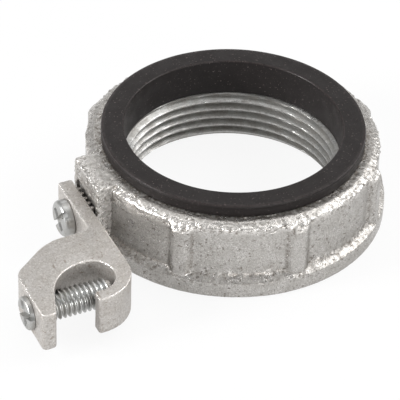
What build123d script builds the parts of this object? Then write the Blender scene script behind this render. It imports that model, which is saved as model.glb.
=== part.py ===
import os
from math import cos, hypot, radians, sin, tan

from build123d import *

# Insulated grounding bushing with a lay-in lug for 1-1/2 inch conduit, in millimetres.
# The bore axis is Z, the bottom face of the casting is Z = 0 and the lug is towards -X.

# Conduit bore
conduit_diameter = 48.26
bore_clearance = 0.37
bore_chamfer = 0.5
thread_length = 12.4
thread_pitch = 25.4 / 11.5
thread_depth = 1.4
thread_crest = 0.45
thread_start = 0.7
bore_radius = conduit_diameter / 2 + bore_clearance
crest_radius = bore_radius - thread_depth
thread_turns = int((thread_length - thread_start) / thread_pitch)
thread_end = thread_start + thread_turns * thread_pitch

# Throat insulator: a sleeve in the casting's seat and a flange over its rim
throat_lip = 0.4
sleeve_wall = 3.2
sleeve_clearance = 0.1
flange_overlap = 1.8
flange_thickness = 2.8
flange_bevel = 0.35
throat_radius = bore_radius - throat_lip
seat_radius = throat_radius + sleeve_wall + sleeve_clearance
flange_radius = seat_radius + flange_overlap

# Cast ring
body_height = 18.2
rim_wall = 5.2
rim_width = 1.5
rim_round = 1.2
panel_radius = seat_radius + rim_wall

# Ribs between the recessed panels
rib_count = 8
rib_proud = 1.6
rib_tip_width = 3.2
rib_draft = 30.0
rib_shoulder = 2.4
rib_round = 0.5
rib_root_round = 0.8
rib_radius = panel_radius + rib_proud

# Base band and the sloping ledge above it
band_proud = 0.3
band_height = 3.9
band_bevel = 0.5
ledge_rise = 1.1
band_radius = rib_radius + band_proud
ledge_height = band_height + ledge_rise

# Lug boss, with a pocket in its face for the teeth on the lug's tang
tooth_pitch = 1.84
tooth_crest = 0.5
tooth_root = 0.3
tooth_count = 5
tooth_drop = 0.8
pocket_depth = 0.5
pocket_clearance = 0.5
pocket_margin = 1.3
boss_proud = 0.9
boss_cheek = 1.25
boss_drop = 0.3
boss_round = 0.8
pocket_width = tooth_count * tooth_pitch + 2 * pocket_clearance
boss_width = pocket_width + 2 * boss_cheek
boss_face = band_radius + boss_proud
boss_height = body_height - boss_drop

# Lug extrusion: the tang with its toothed back
lug_height = 9.6
lug_bottom = 2.4
lug_top_bevel = 0.25
lug_bottom_bevel = 0.45
tang_gap = 0.5
tang_thickness = 3.4
tang_end = 6.5
tang_end_round = 1.1
tang_heel_round = 0.6
lug_middle = lug_bottom + lug_height / 2
tooth_height = tang_gap + pocket_depth
tang_back = boss_face + tang_gap
tang_front = tang_back + tang_thickness

# Lug extrusion: the hook's wire seat
hook_start = 11.3
seat_web = 9.6
wire_radius = 4.7
seat_flat = 0.3
inner_arm_wall = 4.0
throat_sweep = 9.6
seat_bottom = hook_start + seat_web
wire_centre = tang_back + inner_arm_wall + wire_radius

# Lug extrusion: the outer arm that holds the clamp screw
hook_depth = 23.2
hook_knee = 9.9
hook_knee_round = 12.0
hook_corner = 7.6
hook_corner_round = 4.0
hook_root_round = 1.2
clamp_offset = 5.4
clamp_margin = 7.7
arm_lean = 19.0
arm_tip = 3.1
arm_end_round = 1.0
arm_face = tang_back + hook_depth
clamp_axis = seat_bottom + clamp_offset
arm_reach = clamp_axis + clamp_margin

# Lug extrusion: the inner arm that curls over the wire
curl_wall = 3.0
curl_overhang = 1.7
curl_round = 9.1
curl_tip_round = 0.7
curl_inside = seat_bottom + 2 * wire_radius + seat_flat
curl_reach = curl_inside + curl_wall
curl_tip = wire_centre + curl_overhang

# Lug screw: number 8, 32 threads to the inch
lug_screw_radius = 2.08
lug_screw_length = 9.5
lug_screw_point = 0.5
lug_screw_head_radius = 4.09
lug_screw_head_height = 2.4
lug_screw_crown = 1.7
lug_screw_slot_angle = 49.0
tapped_clearance = 0.04
tapped_run_out = 1.5
tang_hole_clearance = 0.25

# Clamp screw: 1/4 inch
clamp_radius = 3.15
clamp_clearance = 0.06
clamp_length = 18.2
clamp_point = 0.9
clamp_head_lip = 0.5
clamp_head_height = 1.1
clamp_head_bevel = 0.3
clamp_head_gap = 0.05
clamp_slot_angle = 23.5
clamp_head_radius = clamp_radius + clamp_head_lip

# Combination drive recess
slot_width = 1.25
slot_depth = 1.0
wing_length = 4.2
wing_width = 1.1
wing_depth = 1.5
wing_taper = 10.0

with BuildPart() as bushing_body:
    with BuildSketch(Plane.XY) as ribbed_plan:
        Circle(panel_radius)
        rib_sink = rib_proud
        rib_root_width = rib_tip_width + 2 * (rib_proud + rib_sink) * tan(radians(rib_draft))
        with PolarLocations(panel_radius, rib_count):
            Polygon(
                (-rib_sink, -rib_root_width / 2),
                (rib_proud, -rib_tip_width / 2),
                (rib_proud, rib_tip_width / 2),
                (-rib_sink, rib_root_width / 2),
                align=None,
            )
        corners = ribbed_plan.vertices()
        root_corners = corners.filter_by(lambda v: abs(hypot(v.X, v.Y) - panel_radius) < rib_proud / 4)
        tip_corners = corners.filter_by(lambda v: hypot(v.X, v.Y) > panel_radius + rib_proud / 2)
        fillet(root_corners, rib_root_round)
        fillet(tip_corners, rib_round)
    extrude(amount=body_height)
    with BuildSketch(Plane.XZ) as rim_section:
        with BuildLine():
            FilletPolyline(
                (0, 0),
                (band_radius, 0),
                (band_radius, body_height - rib_shoulder),
                (panel_radius - rim_width, body_height),
                (0, body_height),
                radius=[0, rim_round, 0],
            )
            Line((0, body_height), (0, 0))
        make_face()
    revolve(axis=Axis.Z, mode=Mode.INTERSECT)
    with BuildSketch(Plane.XZ) as band_section:
        with BuildLine():
            Polyline(
                (bore_radius, 0),
                (band_radius - band_bevel, 0),
                (band_radius, band_bevel),
                (band_radius, band_height),
                (panel_radius, ledge_height),
                (bore_radius, ledge_height),
                close=True,
            )
        make_face()
    revolve(axis=Axis.Z)
    with BuildSketch(Plane.XY) as boss_plan:
        with Locations((-boss_face, 0)):
            Rectangle(boss_face - seat_radius, boss_width, align=(Align.MIN, Align.CENTER))
        fillet(boss_plan.vertices().group_by(Axis.X)[0], boss_round)
    extrude(amount=boss_height)
    boss_top = bushing_body.faces().filter_by(Axis.Z).filter_by_position(Axis.Z, boss_height, boss_height)
    fillet(boss_top.edges().group_by(Axis.X)[0], boss_round)
    ridges = []
    for turn in range(thread_turns):
        ridge = thread_start + (turn + 0.5) * thread_pitch
        ridges.append((bore_radius, ridge - thread_pitch / 2))
        ridges.append((crest_radius, ridge - thread_crest / 2))
        ridges.append((crest_radius, ridge + thread_crest / 2))
    with BuildSketch(Plane.XZ) as bore_section:
        with BuildLine():
            Polyline(
                (0, 0),
                (bore_radius + bore_chamfer, 0),
                (bore_radius, bore_chamfer),
                *ridges,
                (bore_radius, thread_end),
                (bore_radius, thread_length),
                (seat_radius, thread_length),
                (seat_radius, body_height),
                (0, body_height),
                close=True,
            )
        make_face()
    revolve(axis=Axis.Z, mode=Mode.SUBTRACT)
    with Locations((-boss_face, 0, lug_middle)):
        Box(2 * pocket_depth, pocket_width, lug_height + 2 * pocket_margin, mode=Mode.SUBTRACT)
    tapped_depth = lug_screw_length - tang_thickness - tang_gap + tapped_run_out
    with Locations(Plane((-boss_face, 0, lug_middle), x_dir=(0, 1, 0), z_dir=(-1, 0, 0))):
        Hole(lug_screw_radius + tapped_clearance, depth=tapped_depth)
bushing_body.part.label = "bushing_body"

with BuildPart() as throat_insulator:
    with BuildSketch(Plane.XZ) as insulator_section:
        with BuildLine():
            Polyline(
                (throat_radius, thread_length),
                (throat_radius + sleeve_wall, thread_length),
                (throat_radius + sleeve_wall, body_height),
                (flange_radius, body_height),
                (flange_radius, body_height + flange_thickness),
                (throat_radius, body_height + flange_thickness),
                close=True,
            )
        make_face()
        chamfer(insulator_section.vertices().group_by(Axis.Y)[-1], flange_bevel)
    revolve(axis=Axis.Z)
throat_insulator.part.label = "throat_insulator"

with BuildPart() as lay_in_lug:
    with BuildSketch(Plane.XY.offset(lug_bottom)) as lug_plan:
        lean_foot = -arm_face + arm_tip + (arm_reach - seat_bottom) * tan(radians(arm_lean))
        with BuildLine() as lug_outline:
            FilletPolyline(
                (-tang_back, tang_end),
                (-tang_front, tang_end),
                (-tang_front, -hook_start),
                (-tang_front - hook_knee, -hook_start),
                (-arm_face, -hook_start - hook_corner),
                (-arm_face, -arm_reach),
                (-arm_face + arm_tip, -arm_reach),
                (lean_foot, -seat_bottom),
                (-tang_back - inner_arm_wall, -seat_bottom),
                (-tang_back - inner_arm_wall, -curl_inside),
                (-curl_tip, -curl_inside),
                (-curl_tip, -curl_reach),
                (-tang_back, -curl_reach),
                close=True,
                radius=[
                    tang_heel_round,
                    tang_end_round,
                    hook_root_round,
                    hook_knee_round,
                    hook_corner_round,
                    arm_end_round,
                    arm_end_round,
                    throat_sweep,
                    wire_radius,
                    wire_radius,
                    curl_tip_round,
                    curl_tip_round,
                    curl_round,
                ],
            )
        make_face()
    extrude(amount=lug_height)
    chamfer(lay_in_lug.faces().sort_by(Axis.Z)[-1].edges(), lug_top_bevel)
    chamfer(lay_in_lug.faces().sort_by(Axis.Z)[0].edges(), lug_bottom_bevel)
    with BuildSketch(Plane.XY.offset(lug_bottom + tooth_drop)) as teeth_plan:
        with Locations((-tang_back, 0)):
            with GridLocations(0, tooth_pitch, 1, tooth_count):
                Polygon(
                    (-tooth_root, -tooth_pitch / 2 + tooth_root),
                    (0, -tooth_pitch / 2 + tooth_root),
                    (tooth_height, -tooth_crest / 2),
                    (tooth_height, tooth_crest / 2),
                    (0, tooth_pitch / 2 - tooth_root),
                    (-tooth_root, tooth_pitch / 2 - tooth_root),
                    align=None,
                )
    extrude(amount=lug_height - 2 * tooth_drop)
    with Locations(Plane((-tang_front, 0, lug_middle), x_dir=(0, 1, 0), z_dir=(-1, 0, 0))):
        Hole(lug_screw_radius + tang_hole_clearance, depth=tang_thickness + 2 * tooth_height)
    with Locations(Plane((-arm_face, -clamp_axis, lug_middle), x_dir=(0, 1, 0), z_dir=(-1, 0, 0))):
        Hole(clamp_radius + clamp_clearance, depth=arm_face - wire_centre)
lay_in_lug.part.label = "lay_in_lug"

with BuildPart() as lug_screw:
    head_seat = Vector(-tang_front, 0, lug_middle)
    head_top = head_seat + Vector(-lug_screw_head_height, 0, 0)
    crown_start = lug_screw_head_height - lug_screw_crown
    crown_flat = lug_screw_head_radius - lug_screw_crown
    crown_fall = lug_screw_crown * cos(radians(45))
    with BuildSketch(Plane(head_seat, x_dir=(-1, 0, 0), z_dir=(0, 0, 1))) as lug_screw_section:
        with BuildLine():
            Polyline(
                (lug_screw_head_height, crown_flat),
                (lug_screw_head_height, 0),
                (-lug_screw_length, 0),
                (-lug_screw_length, lug_screw_radius - lug_screw_point),
                (-lug_screw_length + lug_screw_point, lug_screw_radius),
                (0, lug_screw_radius),
                (0, lug_screw_head_radius),
                (crown_start, lug_screw_head_radius),
                (crown_start + crown_fall, crown_flat + crown_fall),
                close=True,
            )
        make_face()
    revolve(axis=Axis(head_seat, (-1, 0, 0)))
    slot_line = (0, -cos(radians(lug_screw_slot_angle)), sin(radians(lug_screw_slot_angle)))
    with BuildSketch(Plane(head_top, x_dir=slot_line, z_dir=(-1, 0, 0))):
        Rectangle(4 * lug_screw_head_radius, slot_width)
    extrude(amount=-slot_depth, mode=Mode.SUBTRACT)
    with BuildSketch(Plane(head_top, x_dir=slot_line, z_dir=(-1, 0, 0))):
        Rectangle(wing_width, wing_length)
    extrude(amount=-wing_depth, taper=wing_taper, mode=Mode.SUBTRACT)
lug_screw.part.label = "lug_screw"

with BuildPart() as clamp_screw:
    clamp_seat = Vector(-arm_face - clamp_head_gap, -clamp_axis, lug_middle)
    clamp_top = clamp_seat + Vector(-clamp_head_height, 0, 0)
    with BuildSketch(Plane(clamp_seat, x_dir=(-1, 0, 0), z_dir=(0, 0, 1))) as clamp_section:
        with BuildLine():
            Polyline(
                (clamp_head_height, 0),
                (-clamp_length, 0),
                (-clamp_length, clamp_radius - clamp_point),
                (-clamp_length + clamp_point, clamp_radius),
                (0, clamp_radius),
                (0, clamp_head_radius),
                (clamp_head_height - clamp_head_bevel, clamp_head_radius),
                (clamp_head_height, clamp_head_radius - clamp_head_bevel),
                close=True,
            )
        make_face()
    revolve(axis=Axis(clamp_seat, (-1, 0, 0)))
    clamp_slot_line = (0, -cos(radians(clamp_slot_angle)), sin(radians(clamp_slot_angle)))
    with BuildSketch(Plane(clamp_top, x_dir=clamp_slot_line, z_dir=(-1, 0, 0))):
        Rectangle(4 * clamp_head_radius, slot_width)
    extrude(amount=-slot_depth, mode=Mode.SUBTRACT)
    with BuildSketch(Plane(clamp_top, x_dir=clamp_slot_line, z_dir=(-1, 0, 0))):
        Rectangle(wing_width, wing_length)
    extrude(amount=-wing_depth, taper=wing_taper, mode=Mode.SUBTRACT)
clamp_screw.part.label = "clamp_screw"

os.makedirs("parts", exist_ok=True)
export_step(bushing_body.part, "parts/bushing_body.step")
export_step(throat_insulator.part, "parts/throat_insulator.step")
export_step(lay_in_lug.part, "parts/lay_in_lug.step")
export_step(lug_screw.part, "parts/lug_screw.step")
export_step(clamp_screw.part, "parts/clamp_screw.step")
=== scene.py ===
from math import atan2, cos, degrees, floor, pi, radians, sin, tan

import bmesh
import bpy
import numpy as np
from mathutils import Matrix, Vector, noise


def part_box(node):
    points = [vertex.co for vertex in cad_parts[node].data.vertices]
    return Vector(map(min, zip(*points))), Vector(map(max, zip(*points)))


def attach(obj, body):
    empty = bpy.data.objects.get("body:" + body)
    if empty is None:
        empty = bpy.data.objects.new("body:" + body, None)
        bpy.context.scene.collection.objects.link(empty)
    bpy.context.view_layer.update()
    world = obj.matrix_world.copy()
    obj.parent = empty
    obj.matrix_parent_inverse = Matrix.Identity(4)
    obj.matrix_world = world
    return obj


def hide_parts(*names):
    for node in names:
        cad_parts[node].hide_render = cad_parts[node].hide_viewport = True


bl_info = {
    "name": "Grounding bushing with lay-in lug",
    "version": (1, 0, 0),
    "blender": (4, 5, 0),
    "location": "3D view, sidebar, Bushing tab",
    "description": "Dresses an insulated grounding bushing with its lug and screws",
    "category": "Object",
}

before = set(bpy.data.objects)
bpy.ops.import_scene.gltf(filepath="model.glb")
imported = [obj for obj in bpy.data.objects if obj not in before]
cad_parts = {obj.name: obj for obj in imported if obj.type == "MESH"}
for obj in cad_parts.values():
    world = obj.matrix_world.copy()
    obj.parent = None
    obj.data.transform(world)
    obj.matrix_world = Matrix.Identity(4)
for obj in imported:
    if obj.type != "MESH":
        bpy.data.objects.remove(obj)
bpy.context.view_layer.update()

# Lengths are in millimetres until a mesh is made
MM = 0.001
MERGE_DISTANCE = 0.001
SHARP_ANGLE = radians(32)
BODY_LOW, BODY_HIGH = (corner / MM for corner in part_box("bushing_body"))
RING_LOW, RING_HIGH = (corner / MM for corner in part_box("throat_insulator"))
LUG_LOW, LUG_HIGH = (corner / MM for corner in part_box("lay_in_lug"))
CLAMP_LOW, CLAMP_HIGH = (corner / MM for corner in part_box("clamp_screw"))
SCREW_LOW, SCREW_HIGH = (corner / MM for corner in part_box("lug_screw"))

# Casting, from the frame and the casting's own proportions
BODY_HEIGHT = BODY_HIGH.z
BAND_RADIUS = BODY_HIGH.x
RIB_RADIUS = BAND_RADIUS - 0.3
PANEL_RADIUS = RIB_RADIUS - 1.6
SEAT_RADIUS = PANEL_RADIUS - 5.2
THREAD_TOP = RING_LOW.z
BAND_HEIGHT = 3.9
LEDGE_HEIGHT = BAND_HEIGHT + 1.1
RIB_COUNT = 8
RIB_HALF_WIDTH = 1.6
RIB_DRAFT = radians(30)
RIB_SHOULDER = 2.4
RIB_BLEND = 1.3
RIM_WIDTH = 1.5
BOSS_FACE = -BODY_LOW.x
BOSS_HALF_WIDTH = 6.35
BOSS_HEIGHT = BODY_HEIGHT - 0.3
BOSS_ROUND = 0.65
BOSS_SKIN = 1.25
BORE_HIDDEN_RADIUS = 24.9

# Casting skin: where the rough rims lie, how far they reach, and how much wear and painted
# highlight they carry
RIM_MIDDLE = BODY_HEIGHT - RIB_SHOULDER / 2
RIM_REACH = 1.4
LEDGE_MIDDLE = BAND_HEIGHT + 0.45
LEDGE_REACH = 0.8
LEDGE_RUB_AND_HIGHLIGHT = 0.3
RUB_AND_HIGHLIGHT_FALL = 2.2
BEAD_HEIGHT = BODY_HEIGHT - 1.0

# Conduit thread
CONDUIT_PITCH = 25.4 / 11.5
CONDUIT_ROOT = 24.47
CONDUIT_CREST = 23.1
CONDUIT_BACK = 25.3

# Insulator
THROAT_RADIUS = RING_HIGH.x - 5.1
FLANGE_RADIUS = RING_HIGH.x
SLEEVE_RADIUS = THROAT_RADIUS + 3.2
RING_TOP = RING_HIGH.z

# Lug
TANG_BACK = BOSS_FACE + 0.5
TANG_FRONT = TANG_BACK + 3.4
TANG_END = LUG_HIGH.y
ARM_FACE = -LUG_LOW.x
ARM_REACH = -LUG_LOW.y
HOOK_START = 11.3
SEAT_BOTTOM = HOOK_START + 9.6
WIRE_RADIUS = 4.7
CURL_INSIDE = SEAT_BOTTOM + 2 * WIRE_RADIUS + 0.3
CURL_REACH = CURL_INSIDE + 3.0
WIRE_CENTRE = TANG_BACK + 4.0 + WIRE_RADIUS
CURL_TIP = WIRE_CENTRE + 1.7
ARM_TIP = 3.1
ARM_LEAN = radians(19)
TOOTH_PITCH = 1.84
TOOTH_COUNT = 5
TOOTH_DROP = 0.8
TOOTH_SINK = 0.4
TOOTH_FOOT = 0.62
TOOTH_TIP = 0.25
TOOTH_REACH = LUG_HIGH.x + TANG_BACK
POCKET_WIDTH = TOOTH_COUNT * TOOTH_PITCH + 1.0
POCKET_DEPTH = TOOTH_REACH - 0.5
POCKET_HEIGHT = LUG_HIGH.z - LUG_LOW.z + 2.6

# Directions in the shared frame: out of the lug's face, across it and up
OUTWARD = Vector((-1, 0, 0))
SIDEWAYS = Vector((0, -1, 0))
UPWARD = Vector((0, 0, 1))

# Screws: an axis along X, with the head towards -X
SCREW_HEIGHT = (LUG_LOW.z + LUG_HIGH.z) / 2
CLAMP_AXIS = (CLAMP_LOW.y + CLAMP_HIGH.y) / 2
CLAMP_RADIUS = 3.15
CLAMP_PITCH = 1.11
LUG_SCREW_RADIUS = 2.08
LUG_SCREW_PITCH = 25.4 / 32
THREAD_DEPTH_SHARE = 0.6
THREAD_CREST_FLAT = 0.12
THREAD_FLANK = 0.66
ROUND_SEGMENTS = 96

# Holes, each a little wider than the screw in it
TAPPED_RADIUS = LUG_SCREW_RADIUS + 0.05
TANG_HOLE_RADIUS = LUG_SCREW_RADIUS + 0.25
CLAMP_HOLE_RADIUS = CLAMP_RADIUS + 0.06

# Drive recesses: the slot's turn, its width and depth, and the wing's length, width and depth
LUG_DRIVE = (radians(49), (1.25, 1.0), (5.4, 1.7, 1.9))
CLAMP_DRIVE = (radians(23.5), (1.6, 1.0), (6.0, 1.9, 1.9))

# The photograph's camera, fitted to the ring's ellipses and the thread pitch
CAMERA_TARGET = Vector((-12.0, -9.03, 10.0)) * MM
CAMERA_AZIMUTH = radians(-26.13)
CAMERA_ELEVATION = radians(38.14)
CAMERA_DISTANCE = 551.5 * MM
CAMERA_ROLL = radians(-1.99)
CAMERA_LENS = 227.2

# Lamps: name, place in metres, size and watts; each faces the camera's target
LAMPS = (
    ("overhead", (0.05, 0.20, 0.80), (0.6, 0.5), 1.35),
    ("left", (-0.79, 0.10, 0.32), (0.3, 0.4), 7.4),
    ("right", (0.72, -0.10, 0.62), (0.7, 0.6), 5.0),
    ("front", (0.15, -0.95, 0.20), (0.6, 0.35), 3.6),
    ("back", (0.30, 0.75, 0.42), (0.4, 0.2), 0.4),
)

# Floor and surround; the floor reaches this many metres each way
FLOOR_REACH = 3.0
FLOOR_GAP = 0.05 * MM
FLOOR_COLOUR = (0.82, 0.82, 0.82, 1)
SKY_STRENGTH = 0.34
WHITE = (1, 1, 1, 1)


class BushingFinish(bpy.types.PropertyGroup):
    """Colours of the bushing's finishes."""

    casting_colour: bpy.props.FloatVectorProperty(
        name="Casting", description="Zinc coat on the casting", subtype="COLOR",
        size=3, min=0, max=1, default=(0.50, 0.485, 0.465),
    )
    thread_colour: bpy.props.FloatVectorProperty(
        name="Thread", description="Cut metal of the conduit thread", subtype="COLOR",
        size=3, min=0, max=1, default=(0.42, 0.42, 0.41),
    )
    lug_colour: bpy.props.FloatVectorProperty(
        name="Lug", description="Tumbled aluminium of the lug", subtype="COLOR",
        size=3, min=0, max=1, default=(0.535, 0.513, 0.49),
    )
    screw_colour: bpy.props.FloatVectorProperty(
        name="Screws", description="Bright zinc plate on the screws", subtype="COLOR",
        size=3, min=0, max=1, default=(0.49, 0.497, 0.492),
    )
    insulator_colour: bpy.props.FloatVectorProperty(
        name="Insulator", description="Black moulded plastic", subtype="COLOR",
        size=3, min=0, max=1, default=(0.0135, 0.0106, 0.0102),
    )


class BushingShape(bpy.types.PropertyGroup):
    """Sizes of the surface detail, in metres."""

    cast_roughness: bpy.props.FloatProperty(
        name="Cast skin", description="Depth of the casting's uneven skin",
        default=0.06 * MM, min=0, max=0.5 * MM, unit="LENGTH", precision=6,
    )
    bead_height: bpy.props.FloatProperty(
        name="Bead", description="Height of the rough bead under the casting's rim",
        default=0.7 * MM, min=0, max=1.2 * MM, unit="LENGTH", precision=6,
    )
    rim_roughness: bpy.props.FloatProperty(
        name="Rim", description="Depth of the lumps along the casting's rims",
        default=0.28 * MM, min=0, max=0.8 * MM, unit="LENGTH", precision=6,
    )
    conduit_crest: bpy.props.FloatProperty(
        name="Thread crest", description="Radius at the crest of the conduit thread",
        default=CONDUIT_CREST * MM, min=22 * MM, max=CONDUIT_ROOT * MM, unit="LENGTH", precision=5,
    )
    lug_edge: bpy.props.FloatProperty(
        name="Lug edge", description="Rounding of the lug's top edge",
        default=0.26 * MM, min=0.02 * MM, max=0.6 * MM, unit="LENGTH", precision=6,
    )
    round_steps: bpy.props.IntProperty(
        name="Steps", description="Segments round the ring", default=680, min=180, max=900,
    )


def finish_of(context):
    return context.scene.bushing_finish


def shape_of(context):
    return context.scene.bushing_shape


# Outlines

def corner_arc(before, corner, after, radius, step):
    """Points of the arc that rounds one corner of an outline, or the corner itself."""
    if radius <= 0:
        return [corner]
    to_before = (before - corner).normalized()
    to_after = (after - corner).normalized()
    half = to_before.angle(to_after) / 2
    centre = corner + (to_before + to_after).normalized() * (radius / sin(half))
    start = corner + to_before * (radius / tan(half)) - centre
    end = corner + to_after * (radius / tan(half)) - centre
    turn = (atan2(end.y, end.x) - atan2(start.y, start.x) + pi) % (2 * pi) - pi
    count = max(3, round(abs(degrees(turn)) / step))
    points = []
    for i in range(count + 1):
        angle = atan2(start.y, start.x) + turn * i / count
        points.append(centre + radius * Vector((cos(angle), sin(angle))))
    return points


def rounded_outline(corners, step=7.0):
    """Closed outline through corners (x, y, radius), each rounded to its radius."""
    places = [Vector(corner[:2]) for corner in corners]
    outline = []
    for i, corner in enumerate(corners):
        after = places[(i + 1) % len(places)]
        outline += corner_arc(places[i - 1], places[i], after, corner[2], step)
    return outline


def spaced(outline, spacing):
    """The closed outline with points added where two lie further apart than the spacing."""
    filled = []
    for i, point in enumerate(outline):
        after = outline[(i + 1) % len(outline)]
        count = max(1, round((after - point).length / spacing))
        filled += [point.lerp(after, k / count) for k in range(count)]
    return filled


# Meshes

def new_piece(name, vertices, faces, node, body, material):
    """A mesh object in metres that stands for a CAD node and rides on its body."""
    mesh = bpy.data.meshes.new(name)
    mesh.from_pydata((np.asarray(vertices) * MM).tolist(), [], faces)
    mesh.validate()
    mesh.shade_smooth()
    mesh.set_sharp_from_angle(angle=SHARP_ANGLE)
    piece = bpy.data.objects.new(name, mesh)
    bpy.context.scene.collection.objects.link(piece)
    mesh.materials.append(material)
    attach(piece, body)
    if node:
        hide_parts(node)
    return piece


def ring_faces(rounds, sections):
    """Quads of a grid that closes on itself round the ring and round its section."""
    i, j = np.meshgrid(np.arange(rounds), np.arange(sections), indexing="ij")
    near, far = i * sections, ((i + 1) % rounds) * sections
    up = (j + 1) % sections
    return np.stack([near + j, far + j, far + up, near + up], -1).reshape(-1, 4).tolist()


def tube_faces(rings, segments):
    """Quads along a tube, from each ring of points to the next."""
    faces = []
    for i in range(rings - 1):
        near, far = i * segments, (i + 1) * segments
        for j in range(segments):
            k = (j + 1) % segments
            faces.append([near + j, near + k, far + k, far + j])
    return faces


def rod_faces(stations, segments):
    """Quads along a rod and a fan at each end, where the last two points are the poles."""
    faces = tube_faces(stations, segments)
    tip, top = stations * segments, stations * segments + 1
    for j in range(segments):
        k = (j + 1) % segments
        faces.append([tip, k, j])
        last = (stations - 1) * segments
        faces.append([top, last + j, last + k])
    return faces


def full_turn(steps):
    """Angles spaced evenly round a full turn."""
    return np.arange(steps) * 2 * pi / steps


def turned(radius, turn, height):
    """Points round the bore's axis, from their radius, angle and height."""
    return np.stack([radius * np.cos(turn), radius * np.sin(turn), height + 0 * turn], -1)


def smooth_least(a, b, blend):
    """The smaller value, with a soft change from one to the other."""
    h = np.clip(0.5 + 0.5 * (b - a) / blend, 0, 1)
    return b * (1 - h) + a * h - blend * h * (1 - h)


def smooth_most(a, b, blend):
    """The larger value, with a soft change from one to the other."""
    return -smooth_least(-a, -b, blend)


def hump(values, centre, width):
    """A smooth hump of height 1 round the centre, for a band of wear, dirt or roughness."""
    return np.exp(-((values - centre) / width) ** 2)


def lumps(points, size, seed, octaves=3):
    """Fractal noise from 0 to about 1 at each point, with features of the given size."""
    shift = Vector((seed * 7.31, seed * 3.77, seed * 5.13))
    values = [noise.fractal(Vector(p) / size + shift, 1.0, 2.1, octaves) for p in points]
    return np.clip(0.5 + 0.5 * np.array(values), 0, 1)


def store_mask(piece, wear_and_highlight, name="edge_wear_and_highlight"):
    """Stores a mask from 0 to 1 at each point for the finish, such as edges of wear and painted
    highlight, and painted shade.
    """
    attribute = piece.data.attributes.new(name, "FLOAT", "POINT")
    attribute.data.foreach_set("value", np.asarray(wear_and_highlight, np.float32))


def combine(piece, operation, others):
    """Takes other solids out of the piece, or joins them to it, for good."""
    for other in others:
        modifier = piece.modifiers.new("combine", "BOOLEAN")
        modifier.operation = operation
        modifier.solver = "EXACT"
        modifier.object = other
    graph = bpy.context.evaluated_depsgraph_get()
    made = bpy.data.meshes.new_from_object(piece.evaluated_get(graph))
    piece.modifiers.clear()
    old = piece.data
    piece.data = made
    bpy.data.meshes.remove(old)
    for other in others:
        mesh = other.data
        bpy.data.objects.remove(other)
        bpy.data.meshes.remove(mesh)
    clean = bmesh.new()
    clean.from_mesh(made)
    bmesh.ops.dissolve_degenerate(clean, edges=clean.edges, dist=MERGE_DISTANCE * MM)
    clean.to_mesh(made)
    clean.free()
    made.set_sharp_from_angle(angle=SHARP_ANGLE)


def helper_solid(name, vertices, faces):
    """A solid that is used up when it is combined with a piece."""
    mesh = bpy.data.meshes.new(name)
    mesh.from_pydata((np.asarray(vertices) * MM).tolist(), [], faces)
    solid = bpy.data.objects.new(name, mesh)
    bpy.context.scene.collection.objects.link(solid)
    return solid


def prism(name, rings):
    """A solid between two outlines of as many points each."""
    count = len(rings[0])
    near, far = list(range(count)), list(range(count, 2 * count))
    return helper_solid(name, np.concatenate(rings), [near[::-1], far] + tube_faces(2, count))


def cylinder_cutter(name, centre, radius, start, end):
    """A cylinder along X, from start to end, round the point (y, z)."""
    angles = full_turn(ROUND_SEGMENTS)
    across, up = centre[0] + radius * np.cos(angles), centre[1] + radius * np.sin(angles)
    return prism(name, [np.stack([x + 0 * angles, across, up], -1) for x in (start, end)])


def box_cutter(name, origin, along, across, outward, size, taper=1.0):
    """A box that reaches down from the origin, narrower at its floor by the taper."""
    length, width, depth, proud = size
    points = []
    for level, share in ((proud, 1.0), (-depth, taper)):
        for a, b in ((-1, -1), (1, -1), (1, 1), (-1, 1)):
            corner = origin + along * (a * length * share / 2)
            points.append(corner + across * (b * width * share / 2) + outward * level)
    faces = [[0, 1, 2, 3], [7, 6, 5, 4], [0, 4, 5, 1], [1, 5, 6, 2], [2, 6, 7, 3], [3, 7, 4, 0]]
    return helper_solid(name, points, faces)


# Shader node groups

class Tree:
    """Short calls to add nodes to a node tree and link them."""

    def __init__(self, tree):
        self.tree = tree

    def add(self, kind, inputs=None, **settings):
        made = self.tree.nodes.new(kind)
        for key, value in settings.items():
            setattr(made, key, value)
        for key, value in (inputs or {}).items():
            self.feed(value, made.inputs[key])
        return made

    def feed(self, value, socket):
        if isinstance(value, bpy.types.NodeSocket):
            self.tree.links.new(value, socket)
        else:
            socket.default_value = value

    def math(self, operation, a, b=0.5, clamp=False):
        made = self.add("ShaderNodeMath", {0: a, 1: b}, operation=operation, use_clamp=clamp)
        return made.outputs[0]

    def mix(self, share, a, b):
        return self.add("ShaderNodeMix", {0: share, 6: a, 7: b}, data_type="RGBA").outputs[2]

    def ramp(self, value, low, high):
        made = self.add("ShaderNodeMapRange", {0: value, 1: low, 2: high},
                        interpolation_type="SMOOTHSTEP")
        return made.outputs[0]

    def noise(self, vector, scale, detail=4.0, roughness=0.55):
        made = self.add("ShaderNodeTexNoise", {
            "Vector": vector, "Scale": scale, "Detail": detail, "Roughness": roughness})
        return made.outputs[0]

    def stretched(self, vector, scale):
        made = self.add("ShaderNodeVectorMath", {0: vector, 1: scale}, operation="MULTIPLY")
        return made.outputs[0]

    def bump(self, height, strength, depth):
        made = self.add("ShaderNodeBump", {
            "Strength": strength, "Distance": depth * MM, "Height": height})
        return made.outputs[0]


def shader_group(name, inputs, outputs):
    """A new shader node group with the named sockets."""
    group = bpy.data.node_groups.new(name, "ShaderNodeTree")
    for label, kind, default in inputs:
        socket = group.interface.new_socket(label, in_out="INPUT", socket_type=kind)
        if default is not None:
            socket.default_value = default
    for label, kind in outputs:
        group.interface.new_socket(label, in_out="OUTPUT", socket_type=kind)
    tree = Tree(group)
    return group, tree, tree.add("NodeGroupInput").outputs, tree.add("NodeGroupOutput").inputs


FLOAT, COLOUR, VECTOR = "NodeSocketFloat", "NodeSocketColor", "NodeSocketVector"


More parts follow.
